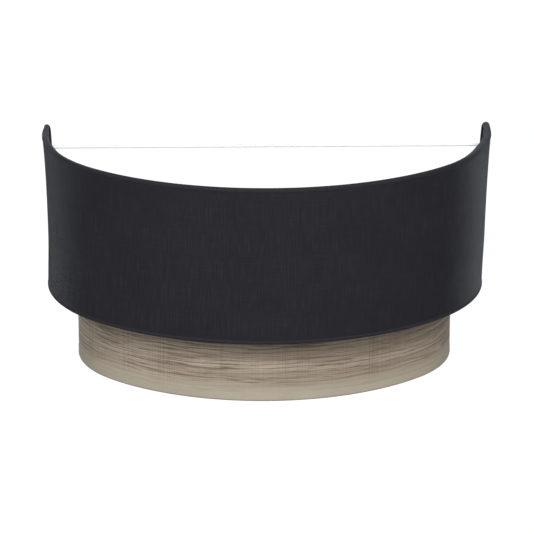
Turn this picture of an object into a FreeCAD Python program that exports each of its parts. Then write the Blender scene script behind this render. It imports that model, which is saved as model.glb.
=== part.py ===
import FreeCAD, Part
import math
import os
from collections import namedtuple

from FreeCAD import Vector

# A half-round wall lamp: a dark fabric band over a smaller wood veneer band, on one
# welded wire frame that hangs by its back wire from two hooks on a wall plate.
# +X is to the right of someone who faces the lamp, -Y points out of the wall, +Z up.
# The origin is on the wall, halfway between the two wall screws. Lengths are in mm.

# Outer band, dark fabric
outer_width = 350.0
outer_height = 123.5
outer_depth = 190.5
outer_skin = 0.4
outer_post_radius = 2.0

# Inner band, wood veneer
inner_height = 77.5
inner_skin = 0.6
inner_post_radius = 1.5
inner_edge_height = 7.0
inner_edge_thickness = 0.3

# Both bands
side_gap = 24.0
front_gap = 35.5
band_overlap = 18.0
turn_depth = 38.0
flatter_front_angle = math.radians(45)
glue_line = 0.3
liner = 0.8
hoop_radius = 1.5
wrap = 0.6
trim_proud = 0.4
corner_radius = 4.5
sheet_tuck = 1.0

# Wires across the shade
upper_wire_radius = 1.2
upper_wire_drop = 20.0
hanging_wire_radius = 1.5
spacer_radius = 1.5
spacer_inner_lap = 2.0
weld_sink = 0.4
spacer_count = 4
spacer_spread = math.radians(132)

# Wall plate and its hooks
plate_thickness = 1.5
plate_height = 42.0
slot_spacing = 76.0
slot_length = 10.0
slot_width = 4.5
cable_hole_radius = 7.0
cable_hole_x = 14.0
cable_hole_z = 6.0
bush_wall = 2.0
bush_flange = 1.5
bush_flange_thickness = 1.2
hook_seat_height = 33.1
hook_width = 12.0
hook_spacing = 80.0
hook_lip_rise = 4.0
hook_clearance = 0.3
tab_depth = 13.0
tab_height = 14.0

# Canopy over the wall plate
canopy_width = 108.0
canopy_height = 54.0
canopy_depth = 25.0
canopy_wall = 1.0
canopy_corner = 6.0
canopy_edge_round = 1.6
notch_clearance = 0.4
canopy_screw_radius = 1.9
canopy_screw_head_radius = 3.6
canopy_screw_head_height = 2.2
canopy_screw_length = 6.0
canopy_screw_depth = 7.0
screw_clearance = 0.1

# Arm from the canopy to the lampholder
arm_radius = 5.0
arm_bore_radius = 4.0
arm_drop = 16.0
arm_reach = 75.0
arm_bend_radius = 13.0
arm_inner_end = 17.0
arm_thread_in_dome = 6.0
arm_rise = 1.0
arm_nut_width = 14.0
arm_nut_height = 3.0
arm_washer_radius = 7.0
arm_washer_height = 0.8
arm_collar_radius = 8.0
arm_collar_height = 2.0
fit_clearance = 0.05

# Lampholder with an E27 screw thread
dome_boss_radius = 8.0
dome_radius = 19.5
dome_wall = 2.0
dome_cone_start = 3.0
dome_cone_end = 13.0
dome_height = 20.0
skirt_radius = 21.0
skirt_mouth_radius = 19.6
skirt_wall = 1.6
skirt_lap = 7.0
skirt_height = 54.0
insert_radius = 17.2
insert_base = 15.0
insert_top = 27.0
insert_well_radius = 12.0
insert_well_depth = 5.5
sleeve_bore_radius = 13.4
sleeve_wall = 0.8
sleeve_flange = 1.0
sleeve_top = 53.0
side_contact_thickness = 0.4
side_contact_width = 5.0
side_contact_height = 12.0
side_contact_gap = 0.3
centre_contact_width = 6.0
centre_contact_thickness = 0.5
contact_gap = 0.3
holder_terminal_radius = 2.4
holder_terminal_height = 4.0
holder_terminal_offset = 6.5
holder_terminal_screw_radius = 1.0
holder_terminal_screw_length = 2.4
lock_screw_radius = 1.3
lock_screw_height = 3.6
screw_slot_width_share = 0.4
screw_slot_depth_share = 0.5

# Light bulb, a 45 mm golf ball with an E27 cap
bulb_cap_radius = 13.0
bulb_cap_wall = 0.3
bulb_cap_base = 29.0
bulb_tip_radius = 4.6
bulb_tip_height = 1.0
bulb_cone_height = 3.0
bulb_cone_top_radius = 12.2
bulb_cone_tip_radius = 5.4
bulb_neck_radius = 13.6
bulb_neck_height = 15.0
bulb_neck_rim = 3.0
bulb_globe_radius = 22.5
bulb_globe_wall = 1.0
bulb_globe_sink = 12.0
bulb_board_radius = 15.0
bulb_board_thickness = 1.2
bulb_chip_width = 3.0
bulb_chip_height = 0.8
bulb_chip_ring = 9.0
bulb_chip_count = 8

# Terminal block, earth screw and leads
block_x = -14.0
block_z = 12.5
block_width = 28.0
block_height = 15.0
block_depth = 14.0
pole_pitch = 9.0
pole_depth = 7.0
pole_tube_radius = 2.6
pole_tube_bore = 1.6
pole_end_wall = 1.5
pole_screw_radius = 1.4
pole_screw_pitch = 6.0
pole_screw_sink = 1.0
block_screw_radius = 1.5
block_screw_head_radius = 2.0
block_screw_head_height = 1.6
lead_radius = 1.1
lead_spacing = 2.8
lead_start_depth = 6.5
lead_bend = 5.0
lead_holder_bend = 3.3
lead_turn_in = 8.0
lead_back_gap = 3.6
lead_lean_height = 5.5
lead_upright_height = 9.5
lead_end_depth = 2.5
earth_x = -23.0
earth_z = -14.0
earth_screw_radius = 2.0
earth_screw_head_radius = 3.5
earth_screw_head_height = 2.4
tag_thickness = 0.8
tag_radius = 4.0
tag_barrel_radius = 1.7
tag_barrel_length = 5.0

# Every cut runs this far past the solid
overrun = 2.0

# Heights that follow from the sizes above
hanging_wire_z = hook_seat_height + hook_clearance + hanging_wire_radius
inner_top = hanging_wire_z - hanging_wire_radius + wrap
inner_bottom = inner_top - inner_height
outer_bottom = inner_top - band_overlap
outer_top = outer_bottom + outer_height
upper_wire_z = outer_top - upper_wire_drop
outer_post_depth = outer_post_radius + wrap
holder_z = arm_bend_radius + arm_rise - arm_drop

outer_side = outer_width / 2
inner_side = outer_side - side_gap
inner_depth = outer_depth - front_gap

Band = namedtuple("Band", "side depth top bottom skin post")
outer = Band(outer_side, outer_depth, outer_top, outer_bottom, outer_skin, outer_post_radius)
inner = Band(inner_side, inner_depth, inner_top, inner_bottom, inner_skin, inner_post_radius)

up = Vector(0, 0, 1)
right = Vector(1, 0, 0)
back = Vector(0, 1, 0)


# Basic shapes

def block(x_low, x_high, y_low, y_high, z_low, z_high):
    corner = Vector(x_low, y_low, z_low)
    return Part.makeBox(x_high - x_low, y_high - y_low, z_high - z_low, corner)


def rod(radius, start, end):
    return Part.makeCylinder(radius, (end - start).Length, start, end - start)


def turned(profile, axis_y):
    """A solid turned about the upright axis at x 0, y axis_y, from (radius, height) pairs."""
    points = [Vector(radius, axis_y, height) for radius, height in profile]
    face = Part.Face(Part.makePolygon(points + points[:1]))
    return face.revolve(Vector(0, axis_y, 0), up, 360)


def mirrored(shape):
    return shape.mirror(Vector(0, 0, 0), right)


def straight(start, end):
    return Part.LineSegment(start, end).toShape()


def arc(start, middle, end):
    return Part.Arc(start, middle, end).toShape()


def run(start, end):
    """A straight edge, or none where two arcs meet directly."""
    return [straight(start, end)] if (end - start).Length > fit_clearance else []


def swept(edges, radius):
    """A round rod of that radius along tangent lines and arcs."""
    path = Part.Wire(edges)
    first = edges[0]
    tangent = first.tangentAt(first.FirstParameter)
    start = first.valueAt(first.FirstParameter)
    section = Part.Wire([Part.makeCircle(radius, start, tangent)])
    return path.makePipeShell([section], True, False)


def route(points, bends):
    """Straight runs through the points, with a tangent arc of its own radius at each corner."""
    edges = []
    here = points[0]
    for before, corner, after, bend in zip(points, points[1:], points[2:], bends):
        inward = (before - corner).normalize()
        outward = (after - corner).normalize()
        half_turn = (math.pi - inward.getAngle(outward)) / 2
        trim = bend * math.tan(half_turn)
        centre_way = (inward + outward).normalize()
        middle = corner + centre_way * (bend / math.cos(half_turn) - bend)
        edges += run(here, corner + inward * trim)
        edges.append(arc(corner + inward * trim, middle, corner + outward * trim))
        here = corner + outward * trim
    return edges + run(here, points[-1])


# Paths that a band follows. Its plan is a D: two straight runs forward from the wall,
# an arc round each side, and a flatter arc across the front.

def way_out(angle):
    """The level direction at that angle from straight ahead, positive to the right."""
    return Vector(math.sin(angle), -math.cos(angle), 0)


def radius_step(band):
    """How much larger the front arc's radius is than the side arcs'."""
    shallower = band.side - (band.depth - turn_depth)
    return shallower / (math.cos(flatter_front_angle) + math.sin(flatter_front_angle) - 1)


def side_arc(band, sign):
    """The centre and the radius of a side arc, at the band's face."""
    shift = radius_step(band) * math.sin(flatter_front_angle)
    return Vector(sign * shift, -turn_depth, 0), band.side - shift


def front_arc(band):
    forward = radius_step(band) * math.cos(flatter_front_angle)
    return Vector(0, forward - turn_depth, 0), side_arc(band, 1)[1] + radius_step(band)


def arc_facing(band, angle):
    """The arc on which the band's face looks in that direction."""
    if abs(angle) < flatter_front_angle:
        return front_arc(band)
    return side_arc(band, math.copysign(1, angle))


def face_point(band, inset, angle):
    """A point at a distance inside the band's face, where the face looks in that direction."""
    centre, radius = arc_facing(band, angle)
    return centre + way_out(angle) * (radius - inset)


def d_edges(band, inset, height, start_depth):
    """The D at a distance inside the band's face, from its left back end to its right one."""
    square = math.radians(90)
    corner = flatter_front_angle
    turns = [-square, -(square + corner) / 2, -corner, 0, corner, (square + corner) / 2, square]
    points = [face_point(band, inset, turn) + up * height for turn in turns]
    left_end = Vector(points[0].x, -start_depth, height)
    right_end = Vector(points[-1].x, -start_depth, height)
    arcs = [arc(*points[first:first + 3]) for first in (0, 2, 4)]
    return [straight(left_end, points[0])] + arcs + [straight(points[-1], right_end)]


def wire_inset():
    """How far the hoops' centre line lies inside a band's face."""
    return hoop_radius + wrap - trim_proud


def centre_line_side(band):
    return band.side - wire_inset()


def post_depth(band):
    return band.post + wrap


def corner_depth(band):
    return post_depth(band) + corner_radius


def hoop_height(band, at_top):
    if at_top:
        return band.top - hoop_radius - wrap
    return band.bottom + hoop_radius + wrap


def hoop_edges(band, height, start_depth):
    return d_edges(band, wire_inset(), height, start_depth)


def post_points(band, top_height, bottom_height, rounded_top):
    """The left post of a band, whose ends turn forward to meet the hoops."""
    side = centre_line_side(band)
    depth = post_depth(band)
    front = corner_depth(band)
    points = [Vector(-side, -depth, top_height), Vector(-side, -depth, bottom_height)]
    points.append(Vector(-side, -front, bottom_height))
    if rounded_top:
        points.insert(0, Vector(-side, -front, top_height))
    return points


def post_edges(band, top_height, rounded_top):
    points = post_points(band, top_height, hoop_height(band, False), rounded_top)
    return route(points, [corner_radius] * (len(points) - 2))


# The two bands: skins, liners and trims

def upright_sheet(band, outside, thickness, start, low, high):
    """An upright D-shaped sheet between two distances inside the band's face."""
    face = d_edges(band, outside, low, start)
    rear = d_edges(band, outside + thickness, low, start)
    left_end = straight(rear[0].Vertexes[0].Point, face[0].Vertexes[0].Point)
    right_end = straight(face[-1].Vertexes[1].Point, rear[-1].Vertexes[1].Point)
    outline = Part.Wire(Part.sortEdges(face + rear + [left_end, right_end])[0])
    return Part.Face(outline).extrude(up * (high - low))


def band_sheet(band, outside, thickness):
    """A sheet whose edges reach into the rolled trims all round."""
    start = post_depth(band) + sheet_tuck
    low = hoop_height(band, False) + sheet_tuck
    high = hoop_height(band, True) - sheet_tuck
    return upright_sheet(band, outside, thickness, start, low, high)


def hoop_trim(band, at_top):
    height = hoop_height(band, at_top)
    return swept(hoop_edges(band, height, corner_depth(band)), hoop_radius + wrap)


def end_trim(band):
    """The rolled trim on the left back edge, rounded at its top and bottom corners."""
    return swept(post_edges(band, hoop_height(band, True), True), band.post + wrap)


def within_wires(band):
    """A block as wide as the band, bounded by its lower hoop and its back posts."""
    low = up * hoop_height(band, False)
    high = up * band.top
    half_width = right * (band.side + trim_proud)
    near = back * -post_depth(band) - half_width
    far = near - back * band.depth
    path = route([near + high, near + low, far + low], [corner_radius])
    lid = [straight(far + low, far + high), straight(far + high, near + high)]
    return Part.Face(Part.Wire(path + lid)).extrude(half_width * 2)


def edge_strip(band):
    """The flat strip of the bottom trim that lies on the veneer's face."""
    high = band.bottom + inner_edge_height
    low = hoop_height(band, False)
    strip = upright_sheet(band, -inner_edge_thickness, inner_edge_thickness, post_depth(band), low, high)
    left_roll = end_trim(band)
    return strip.common(within_wires(band)).cut([left_roll, mirrored(left_roll)])


def band_pieces(prefix, skin_name, band):
    """The skin, its liner and the four trims of a band, before the wires are cut out of them."""
    top = hoop_trim(band, True)
    bottom = hoop_trim(band, False)
    left = end_trim(band)
    trims = {
        prefix + "_top_trim": top,
        prefix + "_bottom_trim": bottom,
        prefix + "_left_end_trim": left,
        prefix + "_right_end_trim": mirrored(left),
    }
    solids = list(trims.values())
    sheets = {
        prefix + "_" + skin_name: band_sheet(band, 0, band.skin).cut(solids),
        prefix + "_liner": band_sheet(band, band.skin + glue_line, liner).cut(solids),
    }
    return sheets, trims


# The wire frame

def outer_frame():
    left = swept(post_edges(outer, hoop_height(outer, True), True), outer.post)
    start = corner_depth(outer)
    return {
        "outer_left_post": left,
        "outer_right_post": mirrored(left),
        "outer_top_wire": swept(hoop_edges(outer, hoop_height(outer, True), start), hoop_radius),
        "outer_bottom_wire": swept(hoop_edges(outer, hoop_height(outer, False), start), hoop_radius),
    }


def cross_wire(height, radius, posts):
    """A straight wire from one outer post to the other, along the wall."""
    side = centre_line_side(outer)
    start = Vector(-side, -outer_post_depth, height)
    end = Vector(side, -outer_post_depth, height)
    return rod(radius, start, end).cut(posts)


def inner_frame(hanging_wire):
    """The inner posts stand up to the hanging wire, and the top hoop ends on them."""
    post_top = hanging_wire_z - hanging_wire_radius + weld_sink
    left = swept(post_edges(inner, post_top, False), inner.post).cut(hanging_wire)
    right_post = mirrored(left)
    top_edges = hoop_edges(inner, hoop_height(inner, True), post_depth(inner))
    bottom_edges = hoop_edges(inner, hoop_height(inner, False), corner_depth(inner))
    return {
        "inner_left_post": left,
        "inner_right_post": right_post,
        "inner_top_wire": swept(top_edges, hoop_radius).cut([left, right_post]),
        "inner_bottom_wire": swept(bottom_edges, hoop_radius),
    }


def distance_to_hoop(band, start, angle):
    """How far a level line runs in that direction until it meets the band's hoops."""
    centre, radius = arc_facing(band, angle)
    to_centre = centre - start
    forward = to_centre.dot(way_out(angle))
    aside = to_centre.Length**2 - forward**2
    return forward + math.sqrt((radius - wire_inset()) ** 2 - aside)


def spacer_wire(angle):
    """A straight wire laid over the inner top hoop and the outer bottom hoop."""
    above_hoop = up * (hoop_radius + spacer_radius - weld_sink)
    near = face_point(inner, wire_inset(), angle)
    far = near + way_out(angle) * distance_to_hoop(outer, near, angle)
    start = near + up * hoop_height(inner, True) + above_hoop
    end = far + up * hoop_height(outer, False) + above_hoop
    lap = (start - end).normalize() * spacer_inner_lap
    return rod(spacer_radius, start + lap, end)


def spacer_wires():
    wires = {}
    for index in range(spacer_count):
        angle = spacer_spread * index / (spacer_count - 1) - spacer_spread / 2
        wires["spacer_wire_%d" % (index + 1)] = spacer_wire(angle)
    return wires


def frame_wires():
    wires = outer_frame()
    posts = [wires["outer_left_post"], wires["outer_right_post"]]
    wires["upper_cross_wire"] = cross_wire(upper_wire_z, upper_wire_radius, posts)
    wires["hanging_wire"] = cross_wire(hanging_wire_z, hanging_wire_radius, posts)
    wires.update(inner_frame(wires["hanging_wire"]))
    hoops = [wires["inner_top_wire"], wires["outer_bottom_wire"]]
    for name, wire in spacer_wires().items():
        wires[name] = wire.cut(hoops)
    return wires


def shade():
    wires = frame_wires()
    pieces = dict(wires)
    solids = list(wires.values())
    for prefix, skin_name, band in (("outer", "fabric", outer), ("inner", "veneer", inner)):
        sheets, trims = band_pieces(prefix, skin_name, band)
        for name, piece in list(sheets.items()) + list(trims.items()):
            pieces[name] = piece.cut(solids)
    pieces["inner_bottom_trim"] = pieces["inner_bottom_trim"].fuse(edge_strip(inner))
    return pieces


# The wall plate, its hooks and the canopy

def slot_cutter(x):
    half_straight = (slot_length - slot_width) / 2
    radius = slot_width / 2
    low = -plate_thickness - overrun
    cutter = block(x - half_straight, x + half_straight, low, overrun, -radius, radius)
    for side in (-half_straight, half_straight):
        cutter = cutter.fuse(rod(radius, Vector(x + side, low, 0), Vector(x + side, overrun, 0)))
    return cutter


def hook(x):
    """A leg up from the plate, a seat under the hanging wire and a lip in front of it."""
    low_x = x - hook_width / 2
    high_x = x + hook_width / 2
    lip_back = outer_post_depth + hanging_wire_radius + hook_clearance
    lip_front = lip_back + plate_thickness
    seat_bottom = hook_seat_height - plate_thickness
    leg = block(low_x, high_x, -plate_thickness, 0, 0, hook_seat_height)
    seat = block(low_x, high_x, -lip_front, 0, seat_bottom, hook_seat_height)
    lip = block(low_x, high_x, -lip_front, -lip_back, seat_bottom, hook_seat_height + hook_lip_rise)
    return leg.fuse([seat, lip])


def canopy_inside():
    return canopy_width / 2 - canopy_wall


def wall_plate():
    side = canopy_inside()
    half = plate_height / 2
    plate = block(-side, side, -plate_thickness, 0, -half, half)
    for x in (-hook_spacing / 2, hook_spacing / 2):
        plate = plate.fuse(hook(x))
    for low in (-side, side - plate_thickness):
        tab = block(low, low + plate_thickness, -tab_depth, 0, -tab_height / 2, tab_height / 2)
        plate = plate.fuse(tab)
    for x in (-slot_spacing / 2, slot_spacing / 2):
        plate = plate.cut(slot_cutter(x))
    holes = [
        plate_hole(cable_hole_radius, cable_hole_x, cable_hole_z),
        plate_hole(earth_screw_radius, earth_x, earth_z),
        plate_hole(block_screw_radius, block_x + pole_pitch / 2, block_z),
        rod(canopy_screw_radius, canopy_screw_place(-canopy_width), canopy_screw_place(canopy_width)),
    ]
    return plate.cut(holes).removeSplitter()


def plate_hole(radius, x, z):
    return rod(radius, Vector(x, -plate_thickness - overrun, z), Vector(x, overrun, z))


def canopy_screw_place(x):
    return Vector(x, -canopy_screw_depth, 0)


def rounded_box(half_width, half_height, depth, corner):
    box = block(-half_width, half_width, -depth, 0, -half_height, half_height)
    long_edges = [edge for edge in box.Edges if edge.BoundBox.YLength > depth / 2]
    return box.makeFillet(corner, long_edges)


def canopy():
    half_width = canopy_width / 2
    half_height = canopy_height / 2
    shell = rounded_box(half_width, half_height, canopy_depth, canopy_corner)
    front_edges = [edge for edge in shell.Edges if edge.BoundBox.YMax < -canopy_depth + canopy_wall / 2]
    shell = shell.makeFillet(canopy_edge_round, front_edges)
    inside_corner = canopy_corner - canopy_wall
    inside_depth = canopy_depth - canopy_wall
    inside = rounded_box(half_width - canopy_wall, half_height - canopy_wall, inside_depth, inside_corner)
    shell = shell.cut(inside)
    for x in (-hook_spacing / 2, hook_spacing / 2):
        half_notch = hook_width / 2 + notch_clearance
        depth = plate_thickness + notch_clearance
        notch = block(x - half_notch, x + half_notch, -depth, overrun, 0, half_height + overrun)
        shell = shell.cut(notch)
    hole_radius = canopy_screw_radius + screw_clearance
    shell = shell.cut(rod(hole_radius, canopy_screw_place(-canopy_width), canopy_screw_place(canopy_width)))
    back_of_hole = arm_place(canopy_depth - canopy_wall - overrun)
    return shell.cut(rod(arm_radius + screw_clearance, arm_place(canopy_depth + overrun), back_of_hole))


def canopy_screws():
    half_width = canopy_width / 2
    outer_end = half_width + canopy_screw_head_height
    inner_end = half_width - canopy_screw_length
    head = rod(canopy_screw_head_radius, canopy_screw_place(half_width), canopy_screw_place(outer_end))
    shank = rod(canopy_screw_radius, canopy_screw_place(inner_end), canopy_screw_place(outer_end))
    slot_half = canopy_screw_radius * screw_slot_width_share / 2
    slot_low = outer_end - canopy_screw_head_height * screw_slot_depth_share
    front = -canopy_screw_depth - canopy_screw_head_radius - overrun
    rear = -canopy_screw_depth + canopy_screw_head_radius + overrun
    slot = block(slot_low, outer_end + overrun, front, rear, -slot_half, slot_half)
    screw = head.fuse(shank).cut(slot)
    return Part.makeCompound([screw, mirrored(screw)])


# The arm

def arm_place(depth):
    return Vector(0, -depth, -arm_drop)


def arm_tube():
    start = arm_place(arm_inner_end)
    end = Vector(0, -arm_reach, holder_z + arm_thread_in_dome)
    edges = route([start, arm_place(arm_reach), end], [arm_bend_radius])
    return swept(edges, arm_radius).cut(swept(edges, arm_bore_radius))


def ring_on_arm(radius, near_depth, far_depth):
    ring = rod(radius, arm_place(near_depth), arm_place(far_depth))
    return ring.cut(arm_way(near_depth, far_depth))


def arm_way(near_depth, far_depth):
    """The room that the arm needs through a piece between two depths."""
    return rod(arm_radius + fit_clearance, arm_place(near_depth - overrun), arm_place(far_depth + overrun))


def arm_nut():
    """A hexagon with two flats level, behind the canopy's front wall."""
    near = nut_back_depth()
    corner_distance = arm_nut_width / 2 / math.cos(math.radians(30))
    corners = []
    for index in range(6):
        turn = math.radians(60 * index)
        offset = Vector(math.cos(turn), 0, math.sin(turn)) * corner_distance
        corners.append(arm_place(near) + offset)
    face = Part.Face(Part.makePolygon(corners + corners[:1]))
    return face.extrude(back * -arm_nut_height).cut(arm_way(near, near + arm_nut_height))


def washer_back_depth():
    return canopy_depth - canopy_wall - arm_washer_height


def nut_back_depth():
    return washer_back_depth() - arm_nut_height


def arm_pieces():
    return {
        "arm_tube": arm_tube(),
        "arm_nut": arm_nut(),
        "arm_washer": ring_on_arm(arm_washer_radius, washer_back_depth(), canopy_depth - canopy_wall),
        "arm_collar": ring_on_arm(arm_collar_radius, canopy_depth, canopy_depth + arm_collar_height),
    }


# The lampholder, on the upright end of the arm

def at_holder(profile):
    """Turns (radius, height above the holder's foot) pairs about the lamp's upright axis."""
    return turned([(radius, holder_z + height) for radius, height in profile], -arm_reach)


def ring_at_holder(inside, outside, low, high):
    return at_holder([(inside, low), (outside, low), (outside, high), (inside, high)])


def holder_point(x, y, height):
    return Vector(x, y - arm_reach, holder_z + height)


def holder_dome():
    """A cone with an upright rim, a thick foot round the arm and a ledge under the insert."""
    bore = arm_radius + fit_clearance
    inside = dome_radius - dome_wall
    slope = (dome_cone_end - dome_cone_start) / (dome_radius - dome_boss_radius)
    inner_start = dome_cone_start + dome_wall * math.sqrt(1 + slope**2)
    foot_radius = dome_boss_radius + (arm_thread_in_dome - inner_start) / slope
    dome = at_holder(
        [
            (bore, 0),
            (dome_boss_radius, 0),
            (dome_boss_radius, dome_cone_start),
            (dome_radius, dome_cone_end),
            (dome_radius, dome_height),
            (inside, dome_height),
            (inside, inner_start + slope * (inside - dome_boss_radius)),
            (foot_radius, arm_thread_in_dome),
            (bore, arm_thread_in_dome),
        ]
    )
    ledge = ring_at_holder(inside - dome_wall / 2, inside, insert_base - dome_wall / 2, insert_base)
    return dome.fuse(ledge).cut(lock_screw_rod(arm_bore_radius, dome_radius))


def holder_skirt():
    lap_low = dome_height - skirt_lap
    shoulder = dome_height + skirt_wall / 2
    neck = skirt_mouth_radius - skirt_wall
    return at_holder(
        [
            (dome_radius, lap_low),
            (skirt_radius, lap_low),
            (skirt_radius, insert_top),
            (skirt_mouth_radius, skirt_height),
            (neck, skirt_height),
            (neck, shoulder),
            (dome_radius, shoulder),
        ]
    )


def holder_insert():
    insert = ring_at_holder(0, insert_radius, insert_base, insert_top)
    well = ring_at_holder(0, insert_well_radius, insert_top - insert_well_depth, insert_top + overrun)
    return insert.cut(well)


def holder_sleeve():
    outside = sleeve_bore_radius + sleeve_wall
    sleeve = ring_at_holder(sleeve_bore_radius, outside, insert_top, sleeve_top)
    foot = ring_at_holder(sleeve_bore_radius, insert_radius, insert_top, insert_top + sleeve_flange)
    neck = skirt_mouth_radius - skirt_wall
    collar = ring_at_holder(sleeve_bore_radius, neck, sleeve_top - sleeve_flange, sleeve_top)
    return sleeve.fuse([foot, collar]).cut(side_contact())


def side_contact():
    """A brass strip let into the sleeve, just clear of the bulb's cap."""
    near = bulb_cap_radius + side_contact_gap
    half = side_contact_width / 2
    low = holder_z + insert_top
    centre = -arm_reach
    high = low + side_contact_height
    return block(near, near + side_contact_thickness, centre - half, centre + half, low, high)


def centre_contact():
    """A flat brass leaf in the well, just under the bulb's tip."""
    top = bulb_tip_bottom() - contact_gap
    half = centre_contact_width / 2
    side = insert_well_radius - fit_clearance
    leaf = block(
        -half, side, -arm_reach - half, -arm_reach + half,
        holder_z + top - centre_contact_thickness, holder_z + top,
    )
    foot = block(
        side - centre_contact_width, side, -arm_reach - half, -arm_reach + half,
        holder_z + insert_top - insert_well_depth, holder_z + top,
    )
    return leaf.fuse(foot).common(ring_at_holder(0, side, insert_top - insert_well_depth, top))


def holder_terminals():
    """Two brass posts under the insert, each bored for a lead and for its side screw."""
    terminals = []
    for x in (-holder_terminal_offset, holder_terminal_offset):
        start = holder_point(x, 0, insert_base - holder_terminal_height)
        terminals.append(rod(holder_terminal_radius, start, holder_point(x, 0, insert_base)))
    return Part.makeCompound(terminals).cut([live_lead(), neutral_lead(), holder_terminal_screws()])


def holder_terminal_screws():
    height = insert_base - holder_terminal_height / 2
    near = holder_terminal_offset + lead_radius
    far = near + holder_terminal_screw_length
    screw = rod(holder_terminal_screw_radius, holder_point(near, 0, height), holder_point(far, 0, height))
    return Part.makeCompound([screw, mirrored(screw)])


def lock_screw_rod(inner_end, outer_end):
    """The round of the side screw that presses on the arm, between two distances from its centre."""
    start = holder_point(0, inner_end, lock_screw_height)
    return rod(lock_screw_radius, start, holder_point(0, outer_end, lock_screw_height))


def lock_screw():
    slot_half = lock_screw_radius * screw_slot_width_share / 2
    outer_end = dome_boss_radius + dome_wall
    end = outer_end - arm_reach
    low = end - lock_screw_radius * screw_slot_depth_share
    height = holder_z + lock_screw_height
    side = lock_screw_radius
    slot = block(-side, side, low, end + overrun, height - slot_half, height + slot_half)
    return lock_screw_rod(arm_radius + fit_clearance, outer_end).cut(slot)


def holder_pieces():
    return {
        "holder_dome": holder_dome(),
        "holder_skirt": holder_skirt(),
        "holder_insert": holder_insert(),
        "holder_sleeve": holder_sleeve(),
        "holder_side_contact": side_contact(),
        "holder_centre_contact": centre_contact(),
        "holder_terminals": holder_terminals(),
        "holder_terminal_screws": holder_terminal_screws(),
        "holder_lock_screw": lock_screw(),
    }


# The light bulb, screwed into the lampholder

def bulb_tip_bottom():
    return bulb_cap_base - bulb_cone_height - bulb_tip_height


def bulb_globe_centre():
    return sleeve_top + bulb_neck_height + bulb_globe_sink


def bulb_globe():
    centre = Vector(0, -arm_reach, holder_z + bulb_globe_centre())
    ball = Part.makeSphere(bulb_globe_radius, centre)
    hollow = Part.makeSphere(bulb_globe_radius - bulb_globe_wall, centre)
    cut_height = bulb_globe_centre() - bulb_globe_sink
    below = ring_at_holder(0, bulb_globe_radius + overrun, cut_height - bulb_globe_radius, cut_height)
    return ball.cut([hollow, below])


def bulb_mouth_radius():
    return math.sqrt(bulb_globe_radius**2 - bulb_globe_sink**2)


def bulb_housing():
    top = sleeve_top + bulb_neck_height
    inside = bulb_cap_radius - bulb_cap_wall
    wall = bulb_globe_wall
    mouth = bulb_mouth_radius()
    return at_holder(
        [
            (inside - wall, sleeve_top),
            (bulb_neck_radius, sleeve_top),
            (mouth, top - bulb_neck_rim),
            (mouth, top),
            (0, top),
            (0, top - wall),
            (mouth - wall, top - wall),
            (mouth - wall, top - bulb_neck_rim),
            (inside - wall, sleeve_top + wall),
        ]
    )


def bulb_cap():
    """The thin screw shell, closed at its foot by a rim that holds the insulator."""
    inside = bulb_cap_radius - bulb_cap_wall
    shell = ring_at_holder(inside, bulb_cap_radius, bulb_cap_base, sleeve_top)
    rim = ring_at_holder(bulb_cone_top_radius, bulb_cap_radius, bulb_cap_base, bulb_cap_base + bulb_cap_wall)
    return shell.fuse(rim)


def bulb_insulator():
    low = bulb_cap_base - bulb_cone_height
    return at_holder(
        [
            (0, low),
            (bulb_cone_tip_radius, low),
            (bulb_cone_top_radius, bulb_cap_base),
            (bulb_cone_top_radius, bulb_cap_base + bulb_cap_wall),
            (0, bulb_cap_base + bulb_cap_wall),
        ]
    )


def bulb_board():
    low = sleeve_top + bulb_neck_height
    board = ring_at_holder(0, bulb_board_radius, low, low + bulb_board_thickness)
    half = bulb_chip_width / 2
    chip_low = holder_z + low + bulb_board_thickness
    chip_high = chip_low + bulb_chip_height
    for index in range(bulb_chip_count):
        turn = 2 * math.pi * index / bulb_chip_count
        x = bulb_chip_ring * math.cos(turn)
        y = bulb_chip_ring * math.sin(turn) - arm_reach
        board = board.fuse(block(x - half, x + half, y - half, y + half, chip_low, chip_high))
    return board


def bulb_pieces():
    tip_low = bulb_tip_bottom()
    return {
        "bulb_globe": bulb_globe(),
        "bulb_housing": bulb_housing(),
        "bulb_cap": bulb_cap(),
        "bulb_insulator": bulb_insulator(),
        "bulb_tip": ring_at_holder(0, bulb_tip_radius, tip_low, tip_low + bulb_tip_height),
        "bulb_board": bulb_board(),
    }


# The terminal block, the earth screw and the leads

def pole_places():
    return [block_x + pole_pitch * index for index in (-1, 0, 1)]


def pole_y():
    return -plate_thickness - pole_depth


def pole_point(x, height):
    return Vector(x, pole_y(), block_z + height)


def block_screw_place(y):
    return Vector(block_x + pole_pitch / 2, y, block_z)


def block_front():
    return -plate_thickness - block_depth


def terminal_screw(x, height):
    tip = pole_y() - lead_radius
    head = block_front() + pole_screw_sink
    return rod(pole_screw_radius, Vector(x, head, block_z + height), Vector(x, tip, block_z + height))


def terminal_screws():
    screws = []
    for x in pole_places():
        for height in (-pole_screw_pitch / 2, pole_screw_pitch / 2):
            screws.append(terminal_screw(x, height))
    return screws


def terminal_tubes():
    half = block_height / 2 - pole_end_wall
    tubes = []
    for x in pole_places():
        tube = rod(pole_tube_radius, pole_point(x, -half), pole_point(x, half))
        bore = rod(pole_tube_bore, pole_point(x, -block_height), pole_point(x, block_height))
        tubes.append(tube.cut(bore).cut(terminal_screws()))
    return tubes


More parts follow.
